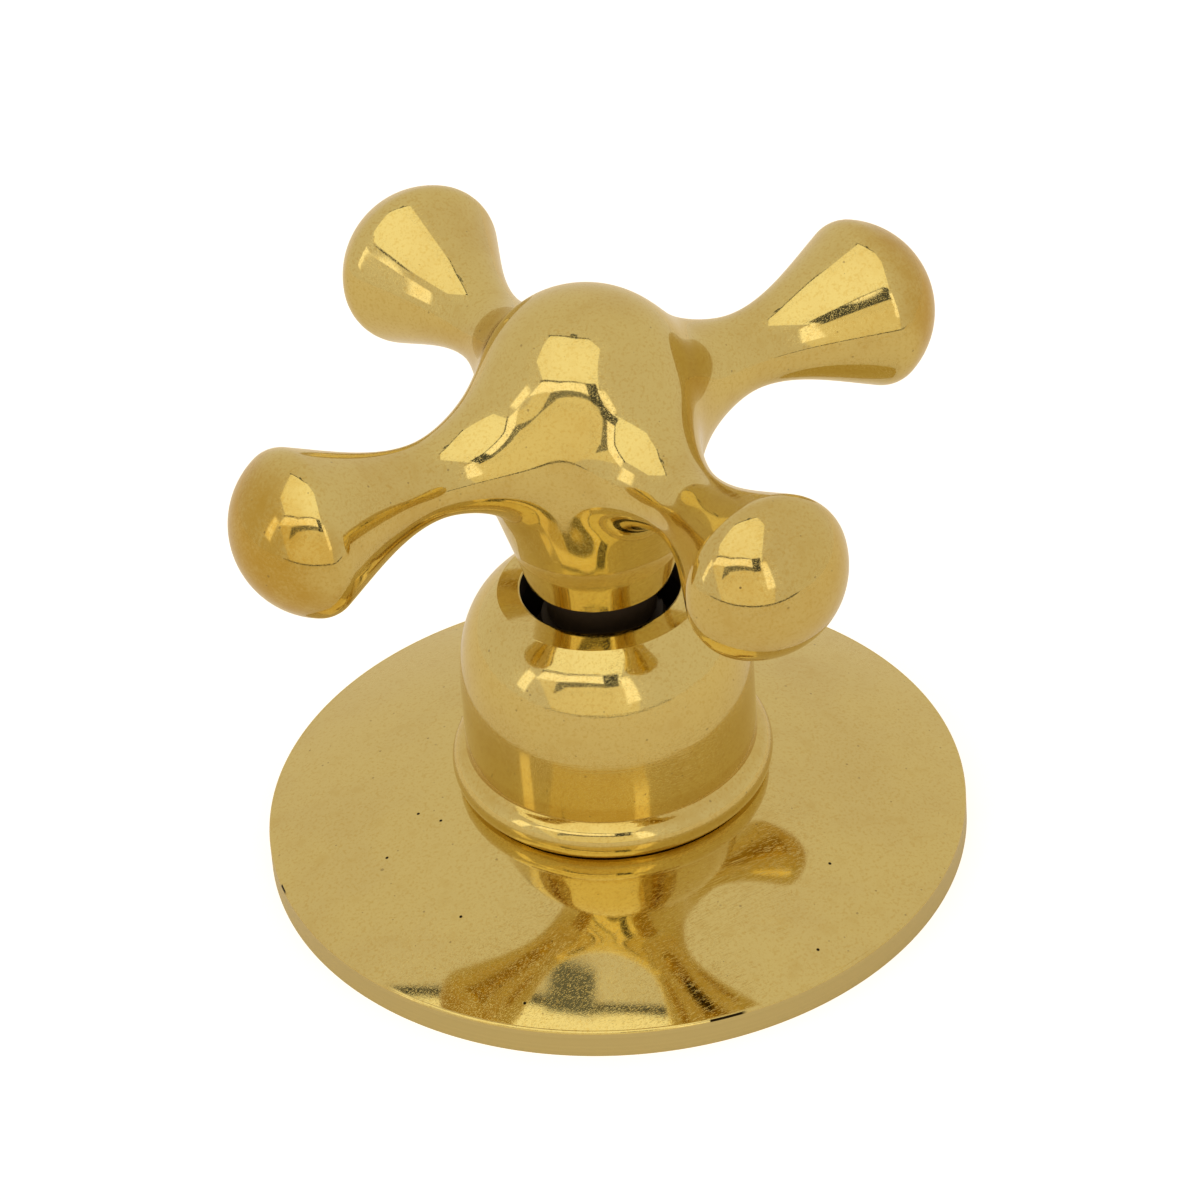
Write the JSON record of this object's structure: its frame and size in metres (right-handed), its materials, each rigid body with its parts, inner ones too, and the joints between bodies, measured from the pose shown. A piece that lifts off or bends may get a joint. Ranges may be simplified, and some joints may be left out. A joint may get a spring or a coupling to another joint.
{
  "type": "concealed faucet",
  "caption": "Round domed brass wall plate, bell cover and cross handle with knobbed arms over a screw-down valve insert; turning the handle lifts a washered plug.",
  "frame": {"origin": "centre of the wall plate's back face, on the finished wall", "axes": "+Z along the spindle out of the wall, X and Y along the handle's arms"},
  "size_m": [0.0766, 0.0766, 0.0842],
  "materials": {
    "polished_brass": "mirror polished, unlacquered",
    "machined_brass": "as turned",
    "stainless_steel": "plain",
    "black_rubber": "matte",
    "grey_foam": "closed-cell foam",
    "red_fibre": "vulcanised fibre",
    "white_polymer": "low-friction polymer"
  },
  "bodies": {
    "housing": {"wall_plate": "polished_brass", "wall_gasket": "grey_foam", "bell": "polished_brass", "bell_seal": "black_rubber", "extension_sleeve": "machined_brass", "sleeve_lock_nut": "machined_brass", "headwork_body": "machined_brass", "body_gasket": "red_fibre"},
    "handle_and_spindle": {"cross_handle": "polished_brass", "handle_grub_screw": "stainless_steel", "spindle_extension": "machined_brass", "extension_screw": "stainless_steel", "spindle": "machined_brass", "spindle_o_rings": "black_rubber", "thrust_washer": "white_polymer", "bearing_washer": "machined_brass", "spindle_circlip": "stainless_steel"},
    "plug": {"valve_plug": "machined_brass", "valve_washer": "black_rubber", "washer_plate": "machined_brass", "washer_screw": "stainless_steel"}
  },
  "joints": [
    {"name": "handle_turn", "type": "hinge", "parent": "housing", "child": "handle_and_spindle", "pos_m": [0, 0, 0.0509], "axis": [0, 0, 1], "range_deg": [0, 900]},
    {"name": "plug_lift", "type": "slide", "parent": "housing", "child": "plug", "axis": [0, 0, 1], "range_m": [0, 0.005]}
  ],
  "couplings": [
    {"joint": "plug_lift", "follows": "handle_turn", "m_per_rad": 0.0003183}
  ]
}
